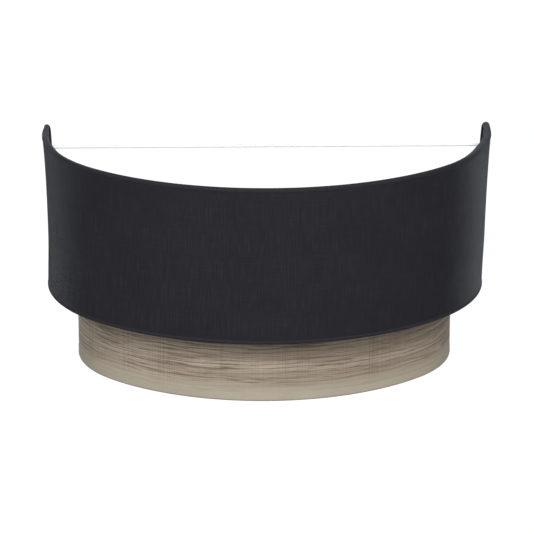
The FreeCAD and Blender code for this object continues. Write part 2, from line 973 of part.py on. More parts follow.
def terminal_block():
    half = block_height / 2
    body = block(
        block_x - block_width / 2, block_x + block_width / 2, block_front(), -plate_thickness,
        block_z - half, block_z + half,
    )
    for x in pole_places():
        end = half - pole_end_wall
        pocket = rod(pole_tube_radius, pole_point(x, -end), pole_point(x, end))
        entry = rod(pole_tube_bore, pole_point(x, -block_height), pole_point(x, block_height))
        body = body.cut([pocket, entry])
        for height in (-pole_screw_pitch / 2, pole_screw_pitch / 2):
            start = Vector(x, block_front() - overrun, block_z + height)
            body = body.cut(rod(pole_screw_radius, start, pole_point(x, height)))
    return body.cut(block_screw())


def block_screw():
    front = block_front()
    shank = rod(block_screw_radius, block_screw_place(front), block_screw_place(0))
    head_front = block_screw_place(front - block_screw_head_height)
    return rod(block_screw_head_radius, head_front, block_screw_place(front)).fuse(shank)


def lead_start(x):
    return pole_point(x, lead_start_depth - block_height / 2)


def supply_lead(pole_x, arm_x, terminal_x):
    """A lead from its pole down and through the arm, up to its terminal in the lampholder."""
    points = [
        lead_start(pole_x),
        pole_point(pole_x, -block_height / 2 - lead_turn_in),
        Vector(arm_x, -plate_thickness - lead_back_gap, -arm_drop),
        Vector(arm_x, -arm_reach, -arm_drop),
        holder_point(arm_x, 0, lead_lean_height),
        holder_point(terminal_x, 0, lead_upright_height),
        holder_point(terminal_x, 0, insert_base - holder_terminal_height + lead_end_depth),
    ]
    bends = [lead_bend, lead_bend, arm_bend_radius, lead_holder_bend, lead_holder_bend]
    return swept(route(points, bends), lead_radius)


def live_lead():
    return supply_lead(pole_places()[2], lead_spacing / 2, holder_terminal_offset)


def neutral_lead():
    return supply_lead(pole_places()[1], -lead_spacing / 2, -holder_terminal_offset)


def tag_barrel_top():
    return earth_z + tag_radius + tag_barrel_length


def earth_lead():
    pole_x = pole_places()[0]
    start = lead_start(pole_x)
    barrel_y = -plate_thickness - tag_barrel_radius
    below = pole_point(pole_x, -block_height / 2 - lead_radius)
    above_barrel = Vector(earth_x, barrel_y, tag_barrel_top() + lead_radius)
    end = Vector(earth_x, barrel_y, earth_z + tag_radius)
    return swept(route([start, below, above_barrel, end], [lead_bend, lead_bend]), lead_radius)


def earth_tag():
    """A flat ring under the earth screw, with a crimped barrel round the lead."""
    rear = Vector(earth_x, -plate_thickness, earth_z)
    front = Vector(earth_x, -plate_thickness - tag_thickness, earth_z)
    neck_half = tag_barrel_radius
    neck = block(
        earth_x - neck_half, earth_x + neck_half, -plate_thickness - tag_thickness, -plate_thickness,
        earth_z, earth_z + tag_radius,
    )
    barrel_y = -plate_thickness - tag_barrel_radius
    barrel = rod(
        tag_barrel_radius, Vector(earth_x, barrel_y, earth_z + tag_radius - tag_thickness),
        Vector(earth_x, barrel_y, tag_barrel_top()),
    )
    tag = rod(tag_radius, front, rear).fuse([neck, barrel])
    screw_way = rod(earth_screw_head_radius, front - back * earth_screw_head_height, front)
    return tag.cut([rod(earth_screw_radius, front - back, rear + back), screw_way, earth_lead()])


def earth_screw():
    face = -plate_thickness - tag_thickness
    seat = Vector(earth_x, face, earth_z)
    head = rod(earth_screw_head_radius, Vector(earth_x, face - earth_screw_head_height, earth_z), seat)
    shank = rod(earth_screw_radius, Vector(earth_x, 0, earth_z), seat)
    return head.fuse(shank)


def cable_bush():
    """A soft ring that lines the cable hole, flush at the wall and flanged inside."""
    front = -plate_thickness - bush_flange_thickness

    def disc(radius, y_start, y_end):
        start = Vector(cable_hole_x, y_start, cable_hole_z)
        return rod(radius, start, Vector(cable_hole_x, y_end, cable_hole_z))

    flange = disc(cable_hole_radius + bush_flange, front, -plate_thickness)
    body = disc(cable_hole_radius, front, 0)
    return flange.fuse(body).cut(disc(cable_hole_radius - bush_wall, front - overrun, overrun))


def wiring_pieces():
    return {
        "cable_bush": cable_bush(),
        "terminal_block": terminal_block(),
        "terminal_tubes": Part.makeCompound(terminal_tubes()),
        "terminal_screws": Part.makeCompound(terminal_screws()),
        "terminal_block_screw": block_screw(),
        "live_lead": live_lead(),
        "neutral_lead": neutral_lead(),
        "earth_lead": earth_lead(),
        "earth_tag": earth_tag(),
        "earth_screw": earth_screw(),
    }


# All pieces, one file each

def all_pieces():
    pieces = shade()
    pieces["wall_plate"] = wall_plate()
    pieces["canopy"] = canopy()
    pieces["canopy_screws"] = canopy_screws()
    pieces.update(arm_pieces())
    pieces.update(holder_pieces())
    pieces.update(bulb_pieces())
    pieces.update(wiring_pieces())
    return pieces


def export(name, shape):
    solids = shape.Solids
    if not solids or not shape.isValid():
        raise ValueError("%s is not a valid solid" % name)
    whole = solids[0] if len(solids) == 1 else Part.makeCompound(solids)
    whole.exportStep("parts/%s.step" % name)
    print("%-24s %2d solids %10.1f mm3" % (name, len(solids), whole.Volume))


os.makedirs("parts", exist_ok=True)
for piece_name, piece_shape in all_pieces().items():
    export(piece_name, piece_shape)
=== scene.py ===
"""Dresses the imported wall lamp: a dark cloth band over a wood-look band, on a wire frame."""

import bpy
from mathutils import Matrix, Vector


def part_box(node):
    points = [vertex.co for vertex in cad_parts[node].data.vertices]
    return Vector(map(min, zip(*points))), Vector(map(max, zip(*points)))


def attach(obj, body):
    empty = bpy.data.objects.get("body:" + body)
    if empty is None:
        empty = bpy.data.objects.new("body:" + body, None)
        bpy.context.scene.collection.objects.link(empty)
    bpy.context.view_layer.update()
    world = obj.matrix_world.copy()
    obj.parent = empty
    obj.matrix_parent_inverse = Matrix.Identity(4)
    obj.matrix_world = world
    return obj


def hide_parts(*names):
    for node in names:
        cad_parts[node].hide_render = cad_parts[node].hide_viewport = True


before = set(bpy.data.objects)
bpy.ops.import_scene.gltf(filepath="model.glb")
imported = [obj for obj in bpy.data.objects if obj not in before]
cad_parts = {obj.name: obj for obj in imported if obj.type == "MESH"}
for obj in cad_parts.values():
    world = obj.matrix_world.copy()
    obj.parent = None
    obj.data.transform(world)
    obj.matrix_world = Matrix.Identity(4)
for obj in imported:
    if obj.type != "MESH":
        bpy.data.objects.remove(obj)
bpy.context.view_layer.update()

import math

import bmesh
import bpy
from bpy.props import FloatProperty, FloatVectorProperty, PointerProperty
from bpy.types import Operator, Panel, PropertyGroup
from mathutils import Vector, noise

bl_info = {
    "name": "Wall lamp",
    "version": (1, 0, 0),
    "blender": (4, 5, 0),
    "location": "3D View > Sidebar > Wall lamp",
    "description": "Builds the looks of a half-round wall lamp with two bands",
    "category": "Object",
}

mm = 0.001


def paint(red, green, blue):
    """An eight-bit screen colour as the linear values that sockets take."""

    def linear(level):
        level /= 255
        return level / 12.92 if level <= 0.04045 else ((level + 0.055) / 1.055) ** 2.4

    return linear(red), linear(green), linear(blue)


def dimmed(tint, share):
    return [level * share for level in tint]


# What a user would change


def length(name, description, default):
    return FloatProperty(name=name, description=description, default=default, unit="LENGTH", precision=5)


def colour(name, description, default):
    return FloatVectorProperty(
        name=name, description=description, default=default, subtype="COLOR", min=0, max=1, size=3
    )


class LampSizes(PropertyGroup):
    thread_pitch: length("Thread pitch", "Distance between two threads of the dark cloth", 0.55 * mm)
    cloth_thickness: length("Cloth thickness", "Thickness of the cloth rolled over the wires", 0.35 * mm)
    turn_in: length("Turn-in", "Width of the cloth that is glued on the lining behind each edge", 9 * mm)
    tape_height: length("Tape height", "Height of the plain tape at the wood band's lower edge", 7.2 * mm)
    grain_spacing: length("Grain spacing", "Usual distance between two lines of the wood grain", 3.6 * mm)
    sideways: length("Sideways lean", "How far the outer band's top stands to the right", 1.5 * mm)
    left_spread: length("Left spread", "How far the upper left back corner leans outward", 3.3 * mm)
    right_spread: length("Right spread", "How far the upper right side leans outward", 4.2 * mm)
    right_curl: length("Right curl", "How much further the upper right back corner leans", 0.7 * mm)
    left_slack: length("Left slack", "How much wider the roll is near the upper left corner", 1.5 * mm)
    right_slack: length("Right slack", "How much wider the roll is near the upper right corner", 2.4 * mm)
    bead_radius: length("Bead radius", "Radius of the beads where wires are welded", 1.9 * mm)


class LampColours(PropertyGroup):
    cloth: colour("Cloth", "Colour of the outer band's cloth", paint(35, 35, 40))
    cloth_high: colour("Raised threads", "Colour of the threads on top of the cloth", paint(57, 57, 62))
    hem: colour("Hem", "Colour of the rolled edges of the dark cloth", paint(43, 43, 47))
    wood_light: colour("Light wood", "Colour of the wood between its grain lines", paint(190, 178, 161))
    wood_mid: colour("Mid wood", "Colour of the wood's broad streaks", paint(158, 145, 128))
    wood_dark: colour("Dark wood", "Colour of the wood's fine grain lines", paint(116, 102, 86))
    tape: colour("Tape", "Colour of the tape round the wood band", paint(173, 164, 147))
    lining: colour("Lining", "Colour of both bands' inside", paint(244, 242, 238))
    enamel: colour("Enamel", "Colour of the coated wires", paint(238, 240, 243))
    powder: colour("Powder coat", "Colour of the canopy and the arm", paint(238, 238, 235))
    moulding: colour("Moulding", "Colour of the lampholder and the bulb's neck", paint(236, 235, 229))


def sizes():
    return bpy.context.scene.lamp_sizes


def colours():
    return bpy.context.scene.lamp_colours


# Nodes


class Link:
    """One output of a node. Sums and products of it add Math nodes."""

    def __init__(self, nodes, node, output=0):
        self.nodes = nodes
        self.node = node
        self.output = output

    def math(self, operation, *values):
        return self.nodes.add("Math", {"operation": operation}, values)

    def __add__(self, other):
        return self.math("ADD", self, other)

    def __sub__(self, other):
        return self.math("SUBTRACT", self, other)

    def __rsub__(self, other):
        return self.math("SUBTRACT", other, self)

    def __mul__(self, other):
        return self.math("MULTIPLY", self, other)

    def __abs__(self):
        return self.math("ABSOLUTE", self)

    __radd__ = __add__
    __rmul__ = __mul__

    def sine(self):
        return self.math("SINE", self)

    def larger(self, other):
        return self.math("MAXIMUM", self, other)

    def step(self, low, high):
        """0 below low and 1 above high, with a smooth change between them."""
        return self.nodes.add("MapRange", {"interpolation_type": "SMOOTHSTEP"}, (self, low, high))


class Nodes:
    """The node tree of a material or of the surroundings."""

    def __init__(self, tree):
        self.tree = tree
        tree.nodes.clear()

    def add(self, kind, settings=None, values=(), output=0):
        """A node of that type. Its settings come first, then its sockets by place or by name."""
        node = self.tree.nodes.new("ShaderNode" + kind)
        for name, value in (settings or {}).items():
            setattr(node, name, value)
        for key, value in values.items() if isinstance(values, dict) else enumerate(values):
            self.feed(node.inputs[key], value)
        return Link(self, node, output)

    def feed(self, socket, value):
        """Gives a socket a link, a number or a colour, which may leave out its alpha."""
        if isinstance(value, Link):
            self.tree.links.new(value.node.outputs[value.output], socket)
        elif hasattr(value, "__len__"):
            given = tuple(value)
            socket.default_value = given + (1,) * (len(socket.default_value) - len(given))
        else:
            socket.default_value = value

    def seen(self):
        """1 for rays from the camera, from gloss or through glass, 0 for light that falls on things."""
        camera = self.add("LightPath", output="Is Camera Ray")
        gloss = self.add("LightPath", output="Is Glossy Ray")
        glass = self.add("LightPath", output="Is Transmission Ray")
        return camera.larger(gloss).larger(glass)


class Finish(Nodes):
    """A material and the nodes that make it."""

    def __init__(self, name, **constants):
        self.material = bpy.data.materials.new(name)
        self.material.use_nodes = True
        super().__init__(self.material.node_tree)
        values = {}
        for key, value in constants.items():
            values[key.replace("_", " ").title().replace("Ior", "IOR")] = value
        self.shader = self.add("BsdfPrincipled", None, values)
        self.output = self.add("OutputMaterial", None, {"Surface": self.shader})

    def place(self):
        """The point on the piece, in metres."""
        return self.add("TexCoord", output="Object")

    def plan(self):
        """Metres along and across the flat cloth or veneer, before it was bent."""
        flat = self.add("UVMap", {"uv_map": "flat"})
        along = self.add("SeparateXYZ", None, (flat,))
        return along, Link(self, along.node, 1)

    def noise(self, where, scale, detail=2, roughness=0.5):
        values = {"Vector": where, "Scale": scale, "Detail": detail, "Roughness": roughness}
        return self.add("TexNoise", None, values)

    def field(self, along, across, patches, detail=2, roughness=0.5):
        """Noise over a flat sheet: its patches in a metre along and across, and its layer."""
        level, upright, layer = patches
        where = self.add("CombineXYZ", None, (along * level, across * upright, layer))
        return self.noise(where, 1, detail, roughness)

    def mix(self, share, first, second):
        """A mix of two colours, which a mix node has in its sockets 6 and 7 and its output 2."""
        settings = {"data_type": "RGBA", "clamp_factor": True}
        return self.add("Mix", settings, {0: share, 6: first, 7: second}, 2)

    def bump(self, height, depth, strength):
        values = {"Height": height, "Distance": depth, "Strength": strength}
        self.feed(self.shader.node.inputs["Normal"], self.add("Bump", None, values))

    def paint(self, tint):
        self.feed(self.shader.node.inputs["Base Color"], tint)

    def rough(self, level):
        self.feed(self.shader.node.inputs["Roughness"], level)


# Finishes

# Noise in the cloth, over its upright and its level threads: patches in a metre, and a layer
upright_patches = (1500, 45, 0)
level_patches = (38, 1500, 7)
fibre_patches = (9000, 9000, 3)
bias_slant = 0.7071
bias_sheen = 0.14
straight_sheen = 0.21
sheen_tint = (0.86, 0.92, 1.0, 1)

# The same for the wood and its tape
sway_patches = (9, 20, 0)
tremble_patches = (60, 160, 4)
bend_patches = (12, 70, 30)
gone_patches = (26, 210, 31)
blot_patches = (95, 620, 2)
pore_patches = (300, 2400, 7)
streak_patches = (5, 90, 9)
cluster_patches = (34, 6, 6)
thread_patches = (950, 8, 8)
weft_patches = (22, 1100, 11)
hatch_patches = (1300, 1500, 12)
fleck_patches = (240, 1500, 0)
# How far the wood's grain strays up and down, how many fine waves a coarse one has, and how both bend
sway_height = 5 * mm
tremble_height = 1.1 * mm
fine_waves = 2.3
wave_bend = 11
fine_wave_bend = 1.4
# For each set of thin grain lines: patches in a metre, height in grain spacings, the layers of the
# lines and of their gaps, width and strength
grain_lines = (
    (7, 2.2, 3, 20, 0.025, 0.6),
    (10, 1.3, 8, 21, 0.03, 0.6),
    (18, 0.8, 13, 22, 0.035, 0.55),
)
# Gaps in those lines in a metre, along and across
line_gaps = (22, 160)
# The part of a thin line's width that is fully dark
line_core = 0.2
# Heights above the wood's lower edge between which its grain gains strength and the tape's colour fades
grain_fade = (6 * mm, 16 * mm)
pale_fade = (6.5 * mm, 14 * mm)
pale_share = 0.65


def cloth(name, low, high, bias=False):
    """Plain-woven cloth with thicker places in single threads, which slant in cloth cut on the bias."""
    finish = Finish(
        name,
        roughness=0.9,
        sheen_weight=bias_sheen if bias else straight_sheen,
        sheen_roughness=0.13,
        sheen_tint=sheen_tint,
        specular_ior_level=0.08,
    )
    along, across = finish.plan()
    if bias:
        along, across = (along + across) * bias_slant, (along - across) * bias_slant
    turns = math.tau / sizes().thread_pitch
    over = (along * turns).sine() * (across * turns).sine()
    upright = finish.field(along, across, upright_patches, detail=3, roughness=0.65)
    level = finish.field(along, across, level_patches, detail=3, roughness=0.65)
    fibres = finish.field(along, across, fibre_patches)
    patches = finish.noise(finish.place(), 26, 3)
    slubs = upright.step(0.45, 0.78) * 0.6 + level.step(0.5, 0.8) * 0.4
    share = slubs * 0.75 + over * 0.16 + fibres * 0.25 + patches * 0.3 - 0.2
    finish.paint(finish.mix(share, low, high))
    finish.rough(0.95 - slubs * 0.12)
    finish.bump(over * 0.5 + slubs * 0.8 + fibres * 0.5, 0.16 * mm, 0.7)
    return finish.material


def wood_grain(finish, along, height):
    """How dark the grain is: coarse and fine waves, thin lines, blots and pores."""
    spacing = sizes().grain_spacing
    bend = finish.field(along, height, bend_patches, detail=3, roughness=0.55) * wave_bend
    coarse = (height * (math.tau / spacing) + bend).sine()
    fine = (height * (math.tau * fine_waves / spacing) - bend * fine_wave_bend).sine()
    gone = finish.field(along, height, gone_patches)
    dark = coarse.step(0.4, 1.0) * gone.step(0.34, 0.54) * 0.75
    dark = dark + fine.step(0.35, 1.0) * (1 - gone.step(0.42, 0.64)) * 0.5
    for reach, stretch, layer, gap_layer, width, strength in grain_lines:
        ridge = finish.field(along, height, (reach, 1 / (spacing * stretch), layer))
        line = 1 - abs(ridge - 0.5).step(width * line_core, width)
        fade = finish.field(along, height, (*line_gaps, gap_layer)).step(0.38, 0.58)
        dark = line * fade * strength + dark
    blots = finish.field(along, height, blot_patches, detail=4, roughness=0.65).step(0.52, 0.72)
    pores = finish.field(along, height, pore_patches, detail=3, roughness=0.6).step(0.48, 0.72)
    return dark + blots * 0.24 + pores * 0.36


def wood(name):
    """Grey-brown wood with level, slightly wavy grain and faint upright threads under it."""
    finish = Finish(name, roughness=0.62, specular_ior_level=0.3)
    tints = colours()
    along, across = finish.plan()
    sway = finish.field(along, across, sway_patches) - 0.5
    tremble = finish.field(along, across, tremble_patches) - 0.5
    height = across + sway * sway_height + tremble * tremble_height
    streaks = finish.field(along, height, streak_patches, detail=3)
    tone = finish.mix(streaks.step(0.36, 0.64), tints.wood_mid, tints.wood_light)
    dark = wood_grain(finish, along, height) * (across.step(*grain_fade) * 0.4 + 0.6)
    tone = finish.mix(dark * 0.8, tone, tints.wood_dark)
    clusters = finish.field(along, across, cluster_patches).step(0.48, 0.62)
    threads = finish.field(along, across, thread_patches).step(0.42, 0.66)
    weft = finish.field(along, across, weft_patches).step(0.4, 0.68)
    hatch = finish.field(along, across, hatch_patches).step(0.4, 0.66)
    gathered = clusters * threads
    share = gathered * 0.26 + threads * 0.14 + weft * 0.24 + hatch * 0.22
    tone = finish.mix(share, tone, tints.wood_dark)
    finish.paint(finish.mix((1 - across.step(*pale_fade)) * pale_share, tone, tints.tape))
    finish.rough(0.56 + dark * 0.15)
    finish.bump(dark * -0.8 - gathered * 0.3, 0.12 * mm, 0.6)
    return finish.material


def tape(name, tint):
    """Plain paper tape with a faint fleck."""
    finish = Finish(name, roughness=0.6, specular_ior_level=0.3)
    along, across = finish.plan()
    fleck = finish.field(along, across, fleck_patches, detail=3, roughness=0.6)
    wide = finish.noise(finish.place(), 45, 2)
    share = fleck.step(0.35, 0.8) * 0.5 + wide.step(0.4, 0.8) * 0.3
    finish.paint(finish.mix(share, tint, dimmed(tint, 0.82)))
    finish.bump(fleck, 0.06 * mm, 0.5)
    return finish.material


def sheet_lining(name, tint):
    """Matt white plastic sheet, a little uneven."""
    finish = Finish(name, roughness=0.55, specular_ior_level=0.35)
    place = finish.place()
    clouds = finish.noise(place, 14, 3)
    grain = finish.noise(place, 1800, 2)
    finish.paint(finish.mix(clouds.step(0.4, 0.75) * 0.6, tint, dimmed(tint, 0.94)))
    finish.rough(0.5 + grain * 0.12)
    finish.bump(grain, 0.04 * mm, 0.4)
    return finish.material


def coating(name, tint, gloss, grain, wear=0.1):
    """Paint or powder coat over metal, or a moulded skin, with a fine orange peel."""
    finish = Finish(name, roughness=gloss, coat_weight=0.15, coat_roughness=0.2)
    place = finish.place()
    peel = finish.noise(place, grain, 3, 0.6)
    dust = finish.noise(place, 60, 4, 0.7)
    finish.paint(finish.mix(dust.step(0.5, 0.85) * wear, tint, dimmed(tint, 0.86)))
    finish.rough(gloss + peel.step(0.4, 0.8) * 0.12)
    finish.bump(peel, 0.05 * mm, 0.5)
    return finish.material


def metal(name, tint, dull, gloss, stretch):
    """Bare or plated metal with fine drawn lines and clouded plating."""
    finish = Finish(name, metallic=1.0, roughness=gloss)
    place = finish.place()
    drawn = finish.add("VectorMath", {"operation": "MULTIPLY"}, (place, stretch))
    lines = finish.noise(drawn, 1, 3, 0.6)
    clouds = finish.noise(place, 160, 3, 0.65)
    finish.paint(finish.mix(clouds.step(0.42, 0.75) * 0.8, tint, dull))
    finish.rough(gloss + lines * 0.18 + clouds.step(0.5, 0.8) * 0.1)
    finish.bump(lines, 0.02 * mm, 0.4)
    return finish.material


def glossy(name, tint, gloss, **constants):
    """Glass, glaze or hard plastic with a slightly uneven surface."""
    finish = Finish(name, roughness=gloss, **constants)
    place = finish.place()
    ripple = finish.noise(place, 90, 3)
    specks = finish.noise(place, 700, 2)
    finish.paint(finish.mix(specks.step(0.55, 0.8) * 0.5, tint, dimmed(tint, 0.93)))
    finish.rough(gloss + ripple * 0.08)
    finish.bump(ripple, 0.08 * mm, 0.3)
    return finish.material


def stripes(name, first, second, width):
    """A two-colour lead sleeve."""
    finish = Finish(name, roughness=0.45)
    place = finish.place()
    side = finish.add("SeparateXYZ", None, (place,))
    grain = finish.noise(place, 900, 2)
    band = (side * (math.pi / width)).sine().step(-0.15, 0.15)
    finish.paint(finish.mix(band, first, second))
    finish.rough(0.42 + grain * 0.12)
    finish.bump(grain, 0.03 * mm, 0.4)
    return finish.material


# Meshes

sharp_edge = math.radians(42)


def end_faces(count, ladder):
    """The corners of the faces that close a ring: a ladder of quads between its two sides, or one face."""
    if not ladder:
        return [range(count)]
    return [(i, i + 1, count - 2 - i, count - 1 - i) for i in range(count // 2 - 1)]


def piece(name, rings, finish, nodes, ladder=True):
    """A closed skin through rings of points. It carries metres along and across as its flat map."""
    count = len(rings[0])
    shape = bmesh.new()
    flat = shape.loops.layers.uv.new("flat")
    verts = [[shape.verts.new(point) for point in ring] for ring in rings]
    along = [0]
    for before, after in zip(rings, rings[1:]):
        along.append(along[-1] + (after[0] - before[0]).length)
    middle = rings[len(rings) // 2]
    across = [0]
    for index in range(count):
        across.append(across[-1] + (middle[(index + 1) % count] - middle[index]).length)
    for row in range(len(rings) - 1):
        for index in range(count):
            spots = ((row, index), (row, index + 1), (row + 1, index + 1), (row + 1, index))
            face = shape.faces.new([verts[r][i % count] for r, i in spots])
            for loop, (r, i) in zip(face.loops, spots):
                loop[flat].uv = (along[r], across[i])
    for ring, reach in ((verts[0], along[0]), (verts[-1], along[-1])):
        for corners in end_faces(count, ladder):
            face = shape.faces.new([ring[i] for i in corners])
            for loop, i in zip(face.loops, corners):
                loop[flat].uv = (reach, across[i])
    bmesh.ops.recalc_face_normals(shape, faces=shape.faces)
    for face in shape.faces:
        face.smooth = True
    mesh = bpy.data.meshes.new(name)
    shape.to_mesh(mesh)
    shape.free()
    mesh.set_sharp_from_angle(angle=sharp_edge)
    mesh.materials.append(finish)
    made = bpy.data.objects.new(name, mesh)
    bpy.context.collection.objects.link(made)
    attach(made, "shade")
    if nodes:
        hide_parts(*nodes)
    return made


def tube(line, radius, sides=12):
    """Rings round a line of points."""
    rings = []
    turn = None
    for index, point in enumerate(line):
        ahead = line[min(index + 1, len(line) - 1)] - line[max(index - 1, 0)]
        ahead.normalize()
        if turn is None:
            turn = ahead.orthogonal()
        turn = (turn - ahead * turn.dot(ahead)).normalized()
        other = ahead.cross(turn)
        ring = []
        for step in range(sides):
            angle = math.tau * step / sides
            ring.append(point + (turn * math.cos(angle) + other * math.sin(angle)) * radius)
        rings.append(ring)
    return rings


def dress(finish, *nodes):
    """Gives solids that keep their own shape a finish."""
    for node in nodes:
        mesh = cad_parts[node].data
        mesh.materials.clear()
        mesh.materials.append(finish)


def smooth(value, low, high):
    value = min(max((value - low) / (high - low), 0), 1)
    return value * value * (3 - 2 * value)


def still(point):
    """Leaves a point of the inner band, which stands straight, where it is."""
    return point


# Where the outer band leans. Heights are over the wall screws, and depths are negative, from the wall.

lean_foot = 20 * mm
lean_height = 118 * mm
lean_sides = (90 * mm, 172 * mm)
lean_depths = (-80 * mm, -25 * mm)
right_power = 1.6
right_curl_power = 5
left_power = 3
left_end = (-24 * mm, -6 * mm)
left_end_return = 0.15
# The share of the sideways lean that the lower edge has, and the share of the height that gains the rest
foot_share = 0.4
foot_rise = 0.35


def lean(point):
    """Moves a point of the outer band, which stands askew and spreads at its upper back corners."""
    settings = sizes()
    rise = min(max((point.z - lean_foot) / lean_height, 0), 1)
    beside = smooth(abs(point.x), *lean_sides)
    back = smooth(point.y, *lean_depths)
    if point.x > 0:
        spread = settings.right_spread * rise**right_power + settings.right_curl * rise**right_curl_power
        spread = spread * back
    else:
        end = 1 - left_end_return * smooth(point.y, *left_end)
        spread = -settings.left_spread * rise**left_power * back * end
    gained = foot_share + (1 - foot_share) * smooth(rise, 0, foot_rise)
    move = settings.sideways * gained + spread * beside
    return Vector((point.x + move, point.y, point.z))


# Where the rolled cloth at the outer band's top stands wider than its wire

slack_heights = (100 * mm, 132 * mm)
slack_end = (-34 * mm, -10 * mm)
slack_end_loss = 0.9
left_slack_depths = (-95 * mm, -50 * mm)
right_slack_depths = (-140 * mm, -75 * mm)
right_end_slack = 0.8 * mm


def corner_slack(band, point):
    """How much wider the roll stands at a point of its wire, on its outer and on its inner side."""
    if band.prefix != "outer":
        return 0, 0
    above = smooth(point.z, *slack_heights)
    end = smooth(point.y, *slack_end)
    if point.x > 0:
        outer = right_end_slack * end
        inner = sizes().right_slack * smooth(point.y, *right_slack_depths)
    else:
        outer = 0
        inner = sizes().left_slack * smooth(point.y, *left_slack_depths)
    return outer * above, inner * (1 - slack_end_loss * end) * above


# The bands

lining_thickness = 0.8 * mm
straight_run = 38 * mm
run_points = 8
sheet_setback = 1 * mm
calm_margin = 12 * mm
# Patches of unevenness in a metre, level and upright
ripple_rate = 14
ripple_rate_up = 9


class Band:
    """The measures of one band, read from its solids. Its plan is a D with a flatter front."""

    def __init__(self, prefix, cover):
        self.prefix = prefix
        low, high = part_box(prefix + "_" + cover)
        self.side = high.x
        self.depth = -low.y
        self.high = high.z
        self.low = low.z
        top_low, top_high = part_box(prefix + "_top_wire")
        bottom_low, bottom_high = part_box(prefix + "_bottom_wire")
        self.wire = (top_high.z - top_low.z) / 2
        self.top = top_high.z - self.wire
        self.bottom = bottom_low.z + self.wire
        self.inset = self.side - bottom_high.x + self.wire
        roll_low, roll_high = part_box(prefix + "_top_trim")
        self.roll = (roll_high.z - roll_low.z) / 2
        post_low, post_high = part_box(prefix + "_left_post")
        self.post = (post_high.x - post_low.x) / 2
        self.back = self.post - post_high.y
        self.corner = -post_low.y - self.back
        end_low, end_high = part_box(prefix + "_left_end_trim")
        self.end_roll = (end_high.x - end_low.x) / 2
        self.lining_face = self.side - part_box(prefix + "_liner")[1].x
        # A side arc and half of the front arc turn 45 degrees each, and meet without a corner
        step = (self.side - self.depth + straight_run) / (math.sqrt(2) - 1)
        shift = step * math.sqrt(0.5)
        self.side_arc = (Vector((shift, -straight_run, 0)), self.side - shift)
        self.front_arc = (Vector((0, shift - straight_run, 0)), self.side - shift + step)

    def stations(self, inset, back, steps=150):
        """Points at a distance inside the face, with their outward directions, from left to right."""
        line = []
        for index in range(run_points):
            y = -back - (straight_run - back) * index / run_points
            line.append((Vector((inset - self.side, y, 0)), Vector((-1, 0, 0))))
        for index in range(steps + 1):
            angle = math.pi * (index / steps - 0.5)
            outward = Vector((math.sin(angle), -math.cos(angle), 0))
            centre, radius = self.front_arc if abs(angle) < math.pi / 4 else self.side_arc
            if angle < 0:
                centre = Vector((-centre.x, centre.y, 0))
            line.append((centre + outward * (radius - inset), outward))
        for point, _ in reversed(line[:run_points]):
            line.append((Vector((-point.x, point.y, 0)), Vector((1, 0, 0))))
        return line


def sheet(band, outside, thickness, rows, settle, ripple):
    """Rings of a thin upright sheet that follows the band, a little uneven as glued sheets are."""
    rings = []
    for point, outward in band.stations(outside, band.back + sheet_setback):
        faces = ([], [])
        for row in range(rows + 1):
            z = band.low + (band.high - band.low) * row / rows
            calm = smooth(z, band.low, band.low + calm_margin)
            calm = calm * smooth(-z, -band.high, calm_margin - band.high)
            where = Vector((point.x * ripple_rate, point.y * ripple_rate, z * ripple_rate_up))
            wave = noise.noise(where) * ripple * calm
            for face, depth in zip(faces, (0, thickness)):
                face.append(settle(point + outward * (wave - depth) + Vector((0, 0, z))))
        rings.append(faces[0] + faces[1][::-1])
    return rings


# Rolled edges

roll_steps = 16
roll_wrap = math.radians(232)
widest_start = 0.99
bulge_start = 0.4
# The roll of a band whose tape shows: the tape's thickness in cloths, and the drops at its two corners
strip_thickness = 0.9
strip_drops = (0.05 * mm, 0.2 * mm)
# The cloth behind the wire: distances off the lining in cloths with drops in radii, then its thin edge
return_points = ((1.2, 1.25), (1, 1.7))
edge_thickness = 0.2
edge_drop = 0.1 * mm
return_top = 0.9
# Patches of unevenness in a metre, along and between the hoops, and how much the rolls waver
hem_rate = 60
hoop_rate_up = 90
hoop_waver = 0.012
hoop_tail_waver = 0.5 * mm
end_cover = 1.004
end_tail = 0.6 * mm
end_tail_waver = 0.4 * mm
end_noise_layer = 5
corner_steps = 8
post_steps = 24


def roll_section(band, radius, tail, strip, slack):
    """A rolled edge round a wire, as (outward, towards the edge) pairs from the wire's centre.

    The strip is the height of the tape on the face, or 0. The slack says how much wider the roll
    stands on its outer and on its inner side.
    """
    thickness = sizes().cloth_thickness
    face = band.inset
    inside = face - band.lining_face - lining_thickness
    outer = face + thickness * strip_thickness if strip else face
    # The roll leaves the face where it is as wide as the face, or at its widest where it is narrower
    start = -math.acos(min(outer / radius, widest_start))
    points = []
    if strip:
        lower, upper = strip_drops
        points = [(face, -strip), (outer, lower - strip), (outer, radius * math.sin(start) - upper)]
    for index in range(roll_steps + 1):
        angle = start + (roll_wrap - start) * index / roll_steps
        side = math.cos(angle)
        bulge = slack[0] * smooth(side, 0, 1) * smooth(angle, start, start + bulge_start)
        bulge = bulge - slack[1] * smooth(-side, 0, 1)
        points.append((radius * side + bulge, radius * math.sin(angle)))
    # Behind the wire the cloth comes back to the lining, lies along it and ends in a thin edge
    low = -radius - tail
    points += [(inside - thickness * off, -radius * drop) for off, drop in return_points]
    points += [(inside - thickness, low), (inside - thickness * edge_thickness, low - edge_drop)]
    points.append((inside, -radius * return_top))
    return points


